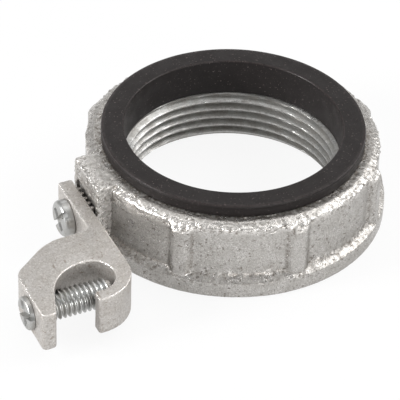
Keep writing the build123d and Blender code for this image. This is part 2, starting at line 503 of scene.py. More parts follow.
def grain_group():
    """Fine granular skin: a height field and the pits in it."""
    if "Metal grain" in bpy.data.node_groups:
        return bpy.data.node_groups["Metal grain"]
    group, tree, given, out = shader_group(
        "Metal grain",
        [("Vector", VECTOR, None), ("Scale", FLOAT, 900.0), ("Coarseness", FLOAT, 0.5),
         ("Pits", FLOAT, 0.5)],
        [("Height", FLOAT), ("Pit mask", FLOAT)],
    )
    vector, coarseness = given["Vector"], given["Coarseness"]

    def times(a, b):
        return tree.math("MULTIPLY", a, b)

    fine = tree.noise(vector, given["Scale"], 6.0, 0.62)
    coarse = tree.noise(vector, times(given["Scale"], 0.22), 3.0)
    speckle = tree.noise(vector, times(given["Scale"], 0.9), 2.0, 0.7)
    patch = tree.ramp(tree.noise(vector, times(given["Scale"], 0.2)), 0.40, 0.56)
    pit = times(times(tree.ramp(speckle, 0.61, 0.66), patch), given["Pits"])
    fine_part = times(fine, tree.math("SUBTRACT", 1.0, coarseness))
    blend = tree.math("ADD", fine_part, times(coarse, coarseness))
    tree.feed(tree.math("SUBTRACT", blend, times(pit, 0.5)), out["Height"])
    tree.feed(pit, out["Pit mask"])
    return group


def tone_group():
    """Slow drift of colour with darker specks, painted shade, painted glints, and brighter edges of
    wear and painted highlight.
    """
    if "Metal tone" in bpy.data.node_groups:
        return bpy.data.node_groups["Metal tone"]
    group, tree, given, out = shader_group(
        "Metal tone",
        [("Vector", VECTOR, None), ("Base", COLOUR, None), ("Dark", COLOUR, None),
         ("Bright", COLOUR, None), ("Scale", FLOAT, 180.0), ("Drift", FLOAT, 0.4),
         ("Pit mask", FLOAT, 0.0), ("Wear and highlight", FLOAT, 0.5), ("Smooth", FLOAT, 0.35),
         ("Rough", FLOAT, 0.6), ("Grit and glints", FLOAT, 0.3), ("Marks", FLOAT, 0.3)],
        [("Color", COLOUR), ("Roughness", FLOAT)],
    )
    vector, dark = given["Vector"], given["Dark"]

    def finer(times):
        return tree.math("MULTIPLY", given["Scale"], times)

    def some(mask, amount):
        return tree.math("MULTIPLY", mask, amount, clamp=True)

    cloud = tree.ramp(tree.noise(vector, given["Scale"], 5.0), 0.32, 0.68)
    speck = tree.ramp(tree.noise(vector, finer(6.0), 3.0), 0.60, 0.72)
    spots = tree.ramp(tree.noise(vector, finer(3.0), 3.0), 0.62, 0.42)
    grit_and_glints = tree.noise(vector, finer(9.0), 3.0, 0.7)
    dings = tree.noise(tree.stretched(vector, (1.0, 0.35, 1.6)), finer(2.6), 2.0, 0.5)
    broken = tree.ramp(tree.noise(vector, finer(4.0)), 0.30, 0.58)
    # Painted shade: this attribute darkens creases, recesses and the place under the flange, broken
    # up by spots
    painted_shade = tree.add("ShaderNodeAttribute", attribute_name="painted_shade").outputs["Fac"]
    edge = tree.add("ShaderNodeAttribute", attribute_name="edge_wear_and_highlight").outputs["Fac"]
    colour = tree.mix(some(cloud, given["Drift"]), given["Base"], dark)
    colour = tree.mix(some(speck, tree.math("MULTIPLY", given["Drift"], 0.8)), colour, dark)
    colour = tree.mix(given["Pit mask"], colour, dark)
    colour = tree.mix(some(painted_shade, spots), colour, dark)
    # Dark grit specks, then bright grit flecks that are painted glints
    colour = tree.mix(some(tree.ramp(grit_and_glints, 0.50, 0.34), given["Grit and glints"]), colour, dark)
    colour = tree.mix(some(tree.ramp(grit_and_glints, 0.54, 0.70), given["Grit and glints"]), colour, given["Bright"])
    colour = tree.mix(some(tree.ramp(dings, 0.65, 0.70), given["Marks"]), colour, dark)
    # Edges of wear and painted highlight, mixed toward the bright colour and made glossier
    wear_and_highlight = some(tree.math("MULTIPLY", edge, broken), given["Wear and highlight"])
    tree.feed(tree.mix(wear_and_highlight, colour, given["Bright"]), out["Color"])
    level = tree.math("MULTIPLY", cloud, tree.math("SUBTRACT", given["Rough"], given["Smooth"]))
    level = tree.math("ADD", level, given["Smooth"])
    polish = tree.math("MULTIPLY", wear_and_highlight, 0.3)
    tree.feed(tree.math("SUBTRACT", level, polish, clamp=True), out["Roughness"])
    return group


def scratch_group():
    """Fine lines along one direction, as drawing, sawing or turning leaves them."""
    if "Tool lines" in bpy.data.node_groups:
        return bpy.data.node_groups["Tool lines"]
    group, tree, given, out = shader_group(
        "Tool lines",
        [("Vector", VECTOR, None), ("Stretch", VECTOR, (60.0, 900.0, 900.0)),
         ("Amount", FLOAT, 0.5)],
        [("Height", FLOAT)],
    )
    lines = tree.noise(tree.stretched(given["Vector"], given["Stretch"]), 1.0, 3.0, 0.6)
    tree.feed(tree.math("MULTIPLY", lines, given["Amount"]), out["Height"])
    return group


def tinted(colour, share, brown=0.0):
    """An RGBA colour, lighter, darker or browner than the one given."""
    channels = zip(colour, (1 + brown, 1.0, 1 - brown))
    return tuple(min(1.0, channel * share * warm) for channel, warm in channels) + (1.0,)


def start_material(name, **shader):
    """A node material and the inputs of its Principled BSDF, set as given."""
    material = bpy.data.materials.new(name)
    material.use_nodes = True
    surface = material.node_tree.nodes["Principled BSDF"].inputs
    for label, value in shader.items():
        surface[label.replace("_", " ")].default_value = value
    return material, Tree(material.node_tree), surface


def add_group(tree, group, inputs):
    """Places a node group in a material, with its own values or links."""
    made = tree.add("ShaderNodeGroup", node_tree=group)
    for label, value in inputs.items():
        tree.feed(value, made.inputs[label])
    return made.outputs


def metal(name, metallic, colour, look):
    """A metal whose colour, roughness and normal come from its grain, tone and tool lines."""
    material, tree, surface = start_material(name, Metallic=metallic)
    place = tree.add("ShaderNodeTexCoord").outputs["Object"]
    grain = add_group(tree, grain_group(), {
        "Vector": place, "Scale": look["grain"], "Coarseness": look["coarse"],
        "Pits": look["pits"]})
    tone = add_group(tree, tone_group(), {
        "Vector": place, "Base": tinted(colour, 1.0), "Dark": tinted(colour, look["dark"], 0.12),
        "Bright": tinted(colour, look["bright"]), "Scale": look["clouds"], "Drift": look["drift"],
        "Pit mask": grain["Pit mask"], "Wear and highlight": look["wear_and_highlight"], "Smooth": look["smooth"],
        "Rough": look["rough"], "Grit and glints": look["grit_and_glints"], "Marks": look["marks"]})
    lines = add_group(tree, scratch_group(), {
        "Vector": place, "Stretch": look["stretch"], "Amount": look["lines"]})
    height = tree.math("ADD", grain["Height"], lines["Height"])
    tree.feed(tone["Color"], surface["Base Color"])
    tree.feed(tone["Roughness"], surface["Roughness"])
    tree.feed(tree.bump(height, look["bump"], look["depth"]), surface["Normal"])
    return material


def cast_zinc(context):
    """Zinc coated casting: dull, uneven, with dark specks, painted shade in its recesses and bright
    rims that are worn and partly painted highlight.
    """
    return metal("cast_zinc", 0.85, finish_of(context).casting_colour, {
        "grain": 1500.0, "coarse": 0.45, "pits": 0.9, "dark": 0.30, "bright": 1.8, "clouds": 420.0,
        "drift": 0.22, "wear_and_highlight": 0.6, "smooth": 0.24, "rough": 0.44, "stretch": (500.0, 500.0, 500.0),
        "lines": 0.1, "bump": 1.0, "depth": 0.30, "grit_and_glints": 0.6, "marks": 0.75})


def cut_thread_metal(context):
    """Freshly cut thread: brighter than the skin, with torn crests."""
    return metal("cut_thread", 0.95, finish_of(context).thread_colour, {
        "grain": 2200.0, "coarse": 0.3, "pits": 0.6, "dark": 0.5, "bright": 1.7, "clouds": 420.0,
        "drift": 0.5, "wear_and_highlight": 0.5, "smooth": 0.36, "rough": 0.55, "stretch": (160.0, 160.0, 2600.0),
        "lines": 0.6, "bump": 0.5, "depth": 0.12, "grit_and_glints": 0.4, "marks": 0.3})


def tumbled_aluminium(context):
    """Extruded aluminium, tumbled after the cut: matte, fine grained, with bright edges of tumbling
    wear and painted highlight.
    """
    return metal("tumbled_aluminium", 0.8, finish_of(context).lug_colour, {
        "grain": 2400.0, "coarse": 0.35, "pits": 0.9, "dark": 0.5, "bright": 1.6, "clouds": 300.0,
        "drift": 0.2, "wear_and_highlight": 0.62, "smooth": 0.34, "rough": 0.5, "stretch": (240.0, 240.0, 1500.0),
        "lines": 0.25, "bump": 0.9, "depth": 0.27, "grit_and_glints": 0.55, "marks": 0.75})


def zinc_plate(context):
    """Bright zinc plated steel: bluish, smooth, faintly turned."""
    return metal("zinc_plate", 1.0, finish_of(context).screw_colour, {
        "grain": 2600.0, "coarse": 0.4, "pits": 0.35, "dark": 0.6, "bright": 1.5, "clouds": 400.0,
        "drift": 0.35, "wear_and_highlight": 0.5, "smooth": 0.3, "rough": 0.48, "stretch": (1800.0, 300.0, 300.0),
        "lines": 0.25, "bump": 0.35, "depth": 0.08, "grit_and_glints": 0.25, "marks": 0.3})


def moulded_black(context):
    """Black thermoplastic: satin, with a fine moulded texture and tiny pale specks."""
    material, tree, surface = start_material("moulded_black", Specular_IOR_Level=0.25)
    place = tree.add("ShaderNodeTexCoord").outputs["Object"]
    colour = finish_of(context).insulator_colour
    grain = add_group(tree, grain_group(), {
        "Vector": place, "Scale": 3200.0, "Coarseness": 0.3, "Pits": 0.2})
    # The bright colour gives the painted highlight along the top edges and the painted glints of
    # the bright grit
    tone = add_group(tree, tone_group(), {
        "Vector": place, "Base": tinted(colour, 1.0), "Dark": tinted(colour, 0.75),
        "Bright": tinted(colour, 2.6), "Scale": 300.0, "Drift": 0.5, "Pit mask": 0.0, "Wear and highlight": 0.8,
        "Smooth": 0.46, "Rough": 0.58, "Grit and glints": 0.3, "Marks": 0.4})
    dust = tree.ramp(tree.noise(place, 2600.0, 2.0), 0.67, 0.71)
    dusty = tree.mix(tree.math("MULTIPLY", dust, 0.7), tone["Color"], tinted(colour, 12.0))
    tree.feed(dusty, surface["Base Color"])
    tree.feed(tone["Roughness"], surface["Roughness"])
    tree.feed(tree.bump(grain["Height"], 0.25, 0.05), surface["Normal"])
    return material


# Pieces

def cast_section():
    """Outline of the casting's section at a rib, as radius and height, spaced for its skin."""
    corners = [
        (BORE_HIDDEN_RADIUS, 0, 0),
        (BAND_RADIUS, 0, 0.6),
        (BAND_RADIUS, BODY_HEIGHT - RIB_SHOULDER, 1.3),
        (PANEL_RADIUS - RIM_WIDTH, BODY_HEIGHT, 1.3),
        (SEAT_RADIUS, BODY_HEIGHT, 0.15),
        (SEAT_RADIUS, THREAD_TOP, 0),
        (BORE_HIDDEN_RADIUS, THREAD_TOP, 0),
    ]
    outline = spaced(rounded_outline(corners, 12.0), 1.0)
    section = []
    for i, point in enumerate(outline):
        after = outline[(i + 1) % len(outline)]
        shown = min(point.x, after.x) > SEAT_RADIUS
        step = 0.2 if abs(point.y - BOSS_HEIGHT) < BOSS_ROUND else 0.36
        count = max(1, round((after - point).length / (step if shown else 1.0)))
        inside = point.x < SEAT_RADIUS + 0.1 or point.y > BOSS_HEIGHT
        section += [(*point.lerp(after, k / count), float(inside)) for k in range(count)]
        if shown and point.y < BOSS_HEIGHT <= after.y:
            edge = point.lerp(after, (BOSS_HEIGHT - point.y) / (after.y - point.y))
            section += [(edge.x, edge.y, share) for share in np.linspace(0.04, 0.96, 12)]
    return np.array(section)


def from_rib(angles):
    """Distance along the wall from the middle of the nearest rib."""
    spacing = 2 * pi / RIB_COUNT
    offset = (angles + spacing / 2) % spacing - spacing / 2
    return np.abs(PANEL_RADIUS * np.sin(offset))


def plan_radius(angles):
    """Radius of the windowed wall and its ribs, round the ring."""
    slope = (RIB_HALF_WIDTH - from_rib(angles)) / tan(RIB_DRAFT)
    proud = np.full_like(slope, RIB_RADIUS - PANEL_RADIUS)
    rise = smooth_least(slope + proud, proud, RIB_BLEND)
    return PANEL_RADIUS + smooth_most(rise, np.zeros_like(rise), RIB_BLEND)


def boss_radius(angles):
    """Distance from the bore axis to the boss's faces, round the ring."""
    away = np.abs(angles % (2 * pi) - pi)
    away = np.clip(away, 1e-4, pi / 2 - 1e-3)
    front = BOSS_FACE / np.cos(away)
    side = BOSS_HALF_WIDTH / np.sin(away)
    return smooth_least(front, side, 0.5)


def cast_wall(section, turn):
    """The wall's radius and height, where it belongs to the boss, and how near the boss's top."""
    radius, height, inside = (column[None, :] for column in section.T)
    wall = smooth_least(radius + 0 * turn, plan_radius(turn) + 0 * radius, 0.5)
    wall = np.where(radius > SEAT_RADIUS + 1, np.minimum(wall, radius), radius)
    slope = (height - BAND_HEIGHT) / (LEDGE_HEIGHT - BAND_HEIGHT)
    band = BAND_RADIUS - (BAND_RADIUS - PANEL_RADIUS) * np.clip(slope, 0, 4)
    low = (radius > PANEL_RADIUS) & (height < LEDGE_HEIGHT + 2)
    wall = np.where(low, np.minimum(smooth_most(wall, band + 0 * wall, 0.5), radius), wall)
    near_top = np.clip((height - BOSS_HEIGHT + BOSS_ROUND) / BOSS_ROUND, 0, 1)
    boss = boss_radius(turn) - BOSS_ROUND * (1 - np.sqrt(1 - near_top**2))
    on_boss = (boss > wall - 0.3) * (1 - inside)
    wall = wall + (smooth_most(wall, boss, 0.3) - wall) * on_boss
    return wall, height + 0 * wall, on_boss, near_top


def cast_edges(section):
    """How far each place of the section belongs to a rough rim, and how much wear and painted
    highlight it carries.
    """
    radius, height = section[:, 0], section[:, 1]
    rims = np.maximum(hump(height, RIM_MIDDLE, RIM_REACH), hump(height, LEDGE_MIDDLE, LEDGE_REACH))
    edge = np.where(radius > PANEL_RADIUS - 3.0, rims, 0)
    return edge, np.where(height < LEDGE_HEIGHT + 0.5, LEDGE_RUB_AND_HIGHLIGHT, 1.0) * edge ** RUB_AND_HIGHLIGHT_FALL


def cast_depth(flat, across, edge, lump, beside_boss, shape):
    """How far the skin lies below the plain wall: its waves, its rough rims and its beads."""
    skin = (lumps(flat, 2.4, 1) + lumps(flat, 0.9, 3, 2)) * shape.cast_roughness / MM
    rough = lump ** 1.5 * shape.rim_roughness / MM * edge
    bead = hump(flat[:, 2], BEAD_HEIGHT, 0.4) + hump(flat[:, 2], LEDGE_HEIGHT, 0.5)
    bead *= (across < RIB_RADIUS - 0.9) * lumps(flat, 1.1, 4) ** 2 * shape.bead_height / MM
    bead *= 1 - 0.7 * beside_boss
    return skin + rough - bead


class BUSHING_OT_casting(bpy.types.Operator):
    """Makes the cast ring with its ribs, windows, ledge, band and lug boss"""

    bl_idname = "bushing.casting"
    bl_label = "Casting"

    def execute(self, context):
        shape = shape_of(context)
        flank = atan2(BOSS_HALF_WIDTH, BOSS_FACE)
        dense = np.linspace(flank - 0.02, flank + 0.04, 24)
        angles = np.unique(np.concatenate([full_turn(shape.round_steps), pi + dense, pi - dense]))
        turn = angles[:, None]
        section = cast_section()
        wall, height, on_boss, near_top = cast_wall(section, turn)
        flat = turned(wall, turn, height).reshape(-1, 3)
        across = np.hypot(flat[:, 0], flat[:, 1])
        edge, rub_and_highlight = cast_edges(section)
        edge = np.maximum(edge[None, :] + 0 * wall, on_boss * BOSS_SKIN).reshape(-1)
        lump = lumps(flat, 0.9, 2, 4)
        next_rib = -RIB_RADIUS * cos(2 * pi / RIB_COUNT)
        beside_boss = np.clip((next_rib - flat[:, 0]) / 2, 0, 1) * (flat[:, 1] < 0)
        shown = (wall > SEAT_RADIUS + 0.2).reshape(-1)
        depth = cast_depth(flat, across, edge, lump, beside_boss, shape) * shown
        moved = flat.copy()
        moved[:, :2] *= (1 - depth / across)[:, None]
        high = shown & (flat[:, 2] > BODY_HEIGHT - RIB_SHOULDER)
        moved[:, 2] -= np.where(high, np.maximum(depth, 0) * 0.8, 0)
        faces = ring_faces(len(angles), section.shape[0])
        piece = new_piece("casting", moved, faces, "bushing_body", "bushing",
                          cast_zinc(context))
        # Painted glints along the boss's rounded top edge and its front corners
        corner = hump(np.abs(turn - pi), flank, 0.012)
        boss_edge_glint = np.maximum(hump(near_top, 0.7, 0.6), corner * (near_top < 1))
        exposed = np.maximum(rub_and_highlight[None, :] * (1 - 0.6 * on_boss), 1.4 * on_boss * boss_edge_glint)
        # Crevices between the rim's lumps: painted shade there, and less bright edge
        crevice_shade = np.clip(lump * 4.0 - 2.0, 0, 1) * np.minimum(edge, 1)
        in_window = across < PANEL_RADIUS + 0.8
        # Painted highlight: a bright line along the ledge in the window beside the boss
        ledge_highlight = 1.4 * hump(flat[:, 2], LEDGE_HEIGHT - 0.3, 0.4) * in_window * beside_boss
        exposed = np.clip(exposed.reshape(-1) * 1.1 + ledge_highlight, 0, 1)
        # The bright mask holds worn rims with painted highlight, the painted boss glints and ledge
        # line, and less of it where crevices get painted shade
        store_mask(piece, exposed * (1 - 0.7 * crevice_shade))
        # Painted shade under the flange, at the foot of the windows, beside the rib roots and in
        # the crevices
        under_flange_shade = hump(across, FLANGE_RADIUS + 0.3, 1.3) * (flat[:, 2] > BODY_HEIGHT - 1.5)
        panel_foot_shade = hump(flat[:, 2], LEDGE_HEIGHT, 0.5) * in_window * 0.7 * (1 - beside_boss)
        beside_rib = (height > LEDGE_HEIGHT) * (height < BODY_HEIGHT - RIB_SHOULDER) * (1 - on_boss)
        foot_line = hump(from_rib(turn), RIB_HALF_WIDTH + 0.9, 0.3)
        rib_foot_shade = (foot_line * beside_rib).reshape(-1) * 0.65
        store_mask(piece, np.maximum.reduce([under_flange_shade, panel_foot_shade, rib_foot_shade, crevice_shade]), "painted_shade")
        tapped = cylinder_cutter("tapped", (0, SCREW_HEIGHT), TAPPED_RADIUS,
                                 -BOSS_FACE - 1, SCREW_HIGH.x + 1.4)
        face = Vector((-BOSS_FACE, 0, SCREW_HEIGHT))
        pocket = box_cutter("pocket", face, SIDEWAYS, UPWARD, OUTWARD,
                            (POCKET_WIDTH, POCKET_HEIGHT, POCKET_DEPTH + 0.15, 1.0))
        combine(piece, "DIFFERENCE", [tapped, pocket])
        return {"FINISHED"}


def thread_share(place):
    """Depth of a thread from crest, 0, to root, 1, at a place counted in pitches."""
    across = np.abs(2 * (place - np.floor(place)) - 1)
    return np.clip((across - THREAD_CREST_FLAT) / THREAD_FLANK, 0, 1)


class BUSHING_OT_conduit_thread(bpy.types.Operator):
    """Cuts the conduit thread as a real helix in the bore"""

    bl_idname = "bushing.conduit_thread"
    bl_label = "Conduit thread"

    def execute(self, context):
        crest = shape_of(context).conduit_crest / MM
        steps = shape_of(context).round_steps // 2
        turn = full_turn(steps)[:, None]
        foot, top = 0.03, THREAD_TOP - 0.04
        heights = np.linspace(foot, top, 126)[None, :]
        share = thread_share(heights / CONDUIT_PITCH - turn / (2 * pi))
        radius = crest + (CONDUIT_ROOT - crest) * share
        mouth = CONDUIT_ROOT + 0.55 - heights
        run_out = CONDUIT_ROOT - 3.0 * np.clip(top - heights, 0, 1)
        radius = np.maximum(radius, mouth)
        radius = np.maximum(radius, run_out)
        torn = lumps(turned(radius, turn, heights).reshape(-1, 3), 0.8, 5).reshape(radius.shape)
        radius = radius + (1 - share) * torn * 0.10
        inner = turned(radius, turn, heights)
        back = np.stack([turned(CONDUIT_BACK, turn[:, 0], height) for height in (top, foot)], 1)
        points = np.concatenate([inner, back], 1)
        flipped = [face[::-1] for face in ring_faces(steps, points.shape[1])]
        piece = new_piece("conduit_thread", points.reshape(-1, 3), flipped, None, "bushing",
                          cut_thread_metal(context))
        # Brighter crests: wear and painted highlight along the crest lines
        wear_and_highlight = np.concatenate([np.clip(1 - 1.6 * share, 0, 1), np.zeros((steps, 2))], 1)
        store_mask(piece, wear_and_highlight.reshape(-1))
        return {"FINISHED"}


class BUSHING_OT_insulator(bpy.types.Operator):
    """Turns the black throat insulator with its rounded edges and mould line"""

    bl_idname = "bushing.insulator"
    bl_label = "Throat insulator"

    def execute(self, context):
        line = RING_TOP - 0.55
        corners = [
            (THROAT_RADIUS, THREAD_TOP, 0.15),
            (SLEEVE_RADIUS, THREAD_TOP, 0.2),
            (SLEEVE_RADIUS, BODY_HEIGHT, 0),
            (FLANGE_RADIUS - 0.06, BODY_HEIGHT, 0.2),
            (FLANGE_RADIUS - 0.06, line - 0.12, 0),
            (FLANGE_RADIUS, line, 0),
            (FLANGE_RADIUS - 0.05, line + 0.1, 0),
            (FLANGE_RADIUS - 0.12, RING_TOP, 0.22),
            (THROAT_RADIUS + 0.05, RING_TOP, 0.35),
        ]
        section = np.array([tuple(p) for p in spaced(rounded_outline(corners, 15.0), 0.6)])
        steps = shape_of(context).round_steps // 2
        turn = full_turn(steps)[:, None]
        radius, height = section[:, 0][None, :], section[:, 1][None, :]
        flat = turned(radius, turn, height).reshape(-1, 3)
        dip = lumps(flat, 9.0, 8, 2) * 0.05
        flat[:, 2] -= np.where(flat[:, 2] > RING_TOP - 0.5, dip, 0)
        faces = ring_faces(steps, section.shape[0])
        piece = new_piece("throat_ring", flat, faces, "throat_insulator", "bushing",
                          moulded_black(context))
        near_top = np.abs(section[:, 1] - RING_TOP) < 0.3
        from_edge = [np.abs(section[:, 0] - rim) for rim in (FLANGE_RADIUS, THROAT_RADIUS)]
        at_edge = np.minimum(*from_edge) < 0.35
        # Painted highlight: a lighter line along the top's outer and inner edges
        edge = np.where(near_top & at_edge, 1.0, 0.0)
        store_mask(piece, (edge[None, :] + np.zeros((steps, 1))).reshape(-1))
        return {"FINISHED"}


def lug_corners():
    """Corners of the lug's plan with their radii."""
    lean_foot = -ARM_FACE + ARM_TIP + (ARM_REACH - SEAT_BOTTOM) * tan(ARM_LEAN)
    return [
        (-TANG_BACK, TANG_END, 0.6),
        (-TANG_FRONT, TANG_END, 0.7),
        (-TANG_FRONT, -HOOK_START, 1.2),
        (-TANG_FRONT - 9.9, -HOOK_START, 12.0),
        (-ARM_FACE, -HOOK_START - 7.6, 4.0),
        (-ARM_FACE, -ARM_REACH, 1.0),
        (-ARM_FACE + ARM_TIP, -ARM_REACH, 1.0),
        (lean_foot, -SEAT_BOTTOM, 9.6),
        (-WIRE_CENTRE + WIRE_RADIUS, -SEAT_BOTTOM, WIRE_RADIUS),
        (-WIRE_CENTRE + WIRE_RADIUS, -CURL_INSIDE, WIRE_RADIUS),
        (-CURL_TIP, -CURL_INSIDE, 0.7),
        (-CURL_TIP, -CURL_REACH, 0.7),
        (-TANG_BACK, -CURL_REACH, 9.1),
    ]


def lug_teeth():
    """The teeth on the tang's back, each sunk a little into the tang."""
    teeth = []
    for i in range(TOOTH_COUNT):
        middle = (i - (TOOTH_COUNT - 1) / 2) * TOOTH_PITCH
        corners = [
            (-TOOTH_SINK, -TOOTH_FOOT, 0),
            (0, -TOOTH_FOOT, 0.1),
            (TOOTH_REACH, -TOOTH_TIP, 0.15),
            (TOOTH_REACH, TOOTH_TIP, 0.15),
            (0, TOOTH_FOOT, 0.1),
            (-TOOTH_SINK, TOOTH_FOOT, 0),
        ]
        outline = rounded_outline([(x - TANG_BACK, y + middle, r) for x, y, r in corners], 20.0)
        levels = (LUG_LOW.z + TOOTH_DROP, LUG_HIGH.z - TOOTH_DROP)
        teeth.append(prism("tooth", [[(*place, level) for place in outline] for level in levels]))
    return teeth


class BUSHING_OT_lug(bpy.types.Operator):
    """Makes the hooked lug extrusion with its toothed back and its two holes"""

    bl_idname = "bushing.lug"
    bl_label = "Lay-in lug"

    def execute(self, context):
        edge = shape_of(context).lug_edge / MM
        outline = spaced(rounded_outline(lug_corners(), 5.0), 0.9)
        plan = np.array([tuple(point) for point in outline])
        along = np.roll(plan, -1, 0) - np.roll(plan, 1, 0)
        along /= np.linalg.norm(along, axis=1)[:, None]
        inward = np.stack([-along[:, 1], along[:, 0]], -1)
        low, high = LUG_LOW.z, LUG_HIGH.z
        foot = 0.5
        levels = []
        for share in np.linspace(0, 1, 5):
            swing = share * pi / 2
            levels.append((low + foot * (1 - cos(swing)), foot * (1 - sin(swing)), 1 - share))
        for share in np.linspace(0, 1, 9)[1:-1]:
            levels.append((low + foot + (high - edge - low - foot) * share, 0.0, 0.0))
        for share in np.linspace(0, 1, 5):
            swing = share * pi / 2
            levels.append((high - edge * (1 - sin(swing)), edge * (1 - cos(swing)), share))
        rings, wear_and_highlight = [], []
        for level, offset, exposed in levels:
            ring = plan + inward * offset
            solid = np.concatenate([ring, np.full((len(ring), 1), level)], 1)
            dent = lumps(solid, 1.6, 11) * 0.05 + lumps(solid, 6.0, 12, 2) * 0.08
            dent += lumps(solid, 0.8, 13, 2) ** 2 * 0.30 * exposed
            solid[:, :2] += inward * dent[:, None]
            rings.append(solid)
            # The rounded edge rings are marked for bright edges: tumbling wear and painted
            # highlight
            wear_and_highlight.append(np.full(len(ring), 1.0 if 0.2 < exposed < 0.95 else 0.0))
        count = len(plan)
        points = np.concatenate(rings)
        faces = tube_faces(len(levels), count)
        faces.append(list(range(count))[::-1])
        faces.append(list(range((len(levels) - 1) * count, len(levels) * count)))
        piece = new_piece("lay_in_lug_body", points, faces, "lay_in_lug", "bushing",
                          tumbled_aluminium(context))
        store_mask(piece, np.concatenate(wear_and_highlight))
        tang_hole = cylinder_cutter("tang_hole", (0, SCREW_HEIGHT), TANG_HOLE_RADIUS,
                                    -TANG_FRONT - 1, -TANG_BACK + 1)
        clamp_hole = cylinder_cutter("clamp_hole", (CLAMP_AXIS, SCREW_HEIGHT), CLAMP_HOLE_RADIUS,
                                     -ARM_FACE - 1, -WIRE_CENTRE)
        combine(piece, "UNION", lug_teeth())
        combine(piece, "DIFFERENCE", [tang_hole, clamp_hole])
        return {"FINISHED"}


def screw_points(seat, stations, pitch, threaded):
    """Points of a screw turned about its axis, threaded between two places along it."""
    angles = full_turn(ROUND_SEGMENTS)[None, :]
    along, radius = stations[:, 0][:, None], stations[:, 1][:, None]
    start, end = threaded
    run_out = 0.8 * pitch
    fade = np.clip((along - start) / run_out, 0, 1) * np.clip((end - along) / run_out, 0, 1)
    share = thread_share(along / pitch - angles / (2 * pi))
    radius = radius - share * THREAD_DEPTH_SHARE * pitch * np.minimum(fade, 1) * (radius > 0.5)
    seat = np.array(seat)
    points = (seat + along[..., None] * np.array(OUTWARD)
              + (radius * np.cos(angles))[..., None] * np.array(SIDEWAYS)
              + (radius * np.sin(angles))[..., None] * np.array(UPWARD))
    poles = seat + np.outer(stations[[0, -1], 0], np.array(OUTWARD))
    # Brighter crests: wear and painted highlight along the crest lines
    wear_and_highlight = np.clip(1 - 1.8 * share, 0, 1) * (fade > 0)
    points = np.concatenate([points.reshape(-1, 3), poles])
    return points, np.concatenate([wear_and_highlight.reshape(-1), [0, 0]])


def screw_stations(tip, radius, point, head, spacing):
    """Places along a screw and its radius there: point, shank and the head's outline."""
    places = [(tip, radius - point), (tip + point, radius)]
    count = int(floor(-(tip + point) / spacing))
    places += [(tip + point + spacing * i, radius) for i in range(1, count)]
    return np.array(places + [(-0.001, radius)] + head)


def drive_cutters(top, head_radius, angle, slot, wing):
    """The combination recess: a slot right across and a short tapered wing square to it."""
    along = SIDEWAYS * cos(angle) + UPWARD * sin(angle)
    across = OUTWARD.cross(along)
    slot_box = box_cutter("slot", top, along, across, OUTWARD, (4 * head_radius, *slot, 1.0))
    wing_box = box_cutter("wing", top, across, -along, OUTWARD, (*wing, 0.02), 0.35)
    return [slot_box, wing_box]


def head_outline(foot, height, radius, crown, steps):
    """Outline of a screw head: its foot, its rounded crown and its flat top."""
    outline = list(foot)
    for step in range(steps + 1):
        swing = step / steps * pi / 2
        outline.append((height - crown + crown * sin(swing), radius - crown * (1 - cos(swing))))
    outline += [(height, (radius - crown) * share) for share in (0.75, 0.5, 0.25)]
    return outline


def turned_screw(name, node, body, seat, stations, pitch, material):
    """A screw of the given stations, threaded from its tip to just under its head."""
    points, wear_and_highlight = screw_points(seat, stations, pitch, (stations[0, 0], -0.4))
    faces = rod_faces(len(stations), ROUND_SEGMENTS)
    piece = new_piece(name, points, faces, node, body, material)
    store_mask(piece, wear_and_highlight)
    return piece


class BUSHING_OT_lug_screw(bpy.types.Operator):
    """Turns the pan head screw that holds the lug on the boss"""

    bl_idname = "bushing.lug_screw"
    bl_label = "Lug screw"

    def execute(self, context):
        seat = Vector((-TANG_FRONT, 0, SCREW_HEIGHT))
        head_radius = (SCREW_HIGH.z - SCREW_LOW.z) / 2
        head_height = -TANG_FRONT - SCREW_LOW.x
        tip = -(SCREW_HIGH.x + TANG_FRONT)
        foot = [(0.0, head_radius - 0.12), (0.12, head_radius)]
        head = head_outline(foot, head_height, head_radius, 0.9, 8)
        stations = screw_stations(tip, LUG_SCREW_RADIUS, 0.5, head, LUG_SCREW_PITCH / 10)
        piece = turned_screw("lug_screw_turned", "lug_screw", "bushing", seat, stations,
                             LUG_SCREW_PITCH, zinc_plate(context))
        top = seat + OUTWARD * head_height
        combine(piece, "DIFFERENCE", drive_cutters(top, head_radius, *LUG_DRIVE))
        return {"FINISHED"}


class BUSHING_OT_clamp_screw(bpy.types.Operator):
    """Turns the threaded clamp screw with its low head"""

    bl_idname = "bushing.clamp_screw"
    bl_label = "Clamp screw"

    def execute(self, context):
        seat = Vector((-ARM_FACE - 0.05, CLAMP_AXIS, SCREW_HEIGHT))
        head_radius = (CLAMP_HIGH.z - CLAMP_LOW.z) / 2
        head_height = seat.x - CLAMP_LOW.x
        tip = -(CLAMP_HIGH.x - seat.x)
        head = head_outline([(0.0, head_radius)], head_height, head_radius, 0.45, 6)
        stations = screw_stations(tip, CLAMP_RADIUS, 0.9, head, CLAMP_PITCH / 14)
        piece = turned_screw("clamp_screw_turned", "clamp_screw", "clamp", seat, stations,
                             CLAMP_PITCH, zinc_plate(context))
        top = seat + OUTWARD * head_height
        combine(piece, "DIFFERENCE", drive_cutters(top, head_radius, *CLAMP_DRIVE))
        return {"FINISHED"}


# Stage

def white_share(tree, seen, mirrored):
    """How much plain white the camera sees directly, and in metal or through glass."""
    path = tree.add("ShaderNodeLightPath").outputs
    bounced = tree.math("MAXIMUM", path["Is Glossy Ray"], path["Is Transmission Ray"])
    return tree.math("MAXIMUM", tree.math("MULTIPLY", path["Is Camera Ray"], seen),
                     tree.math("MULTIPLY", bounced, mirrored))


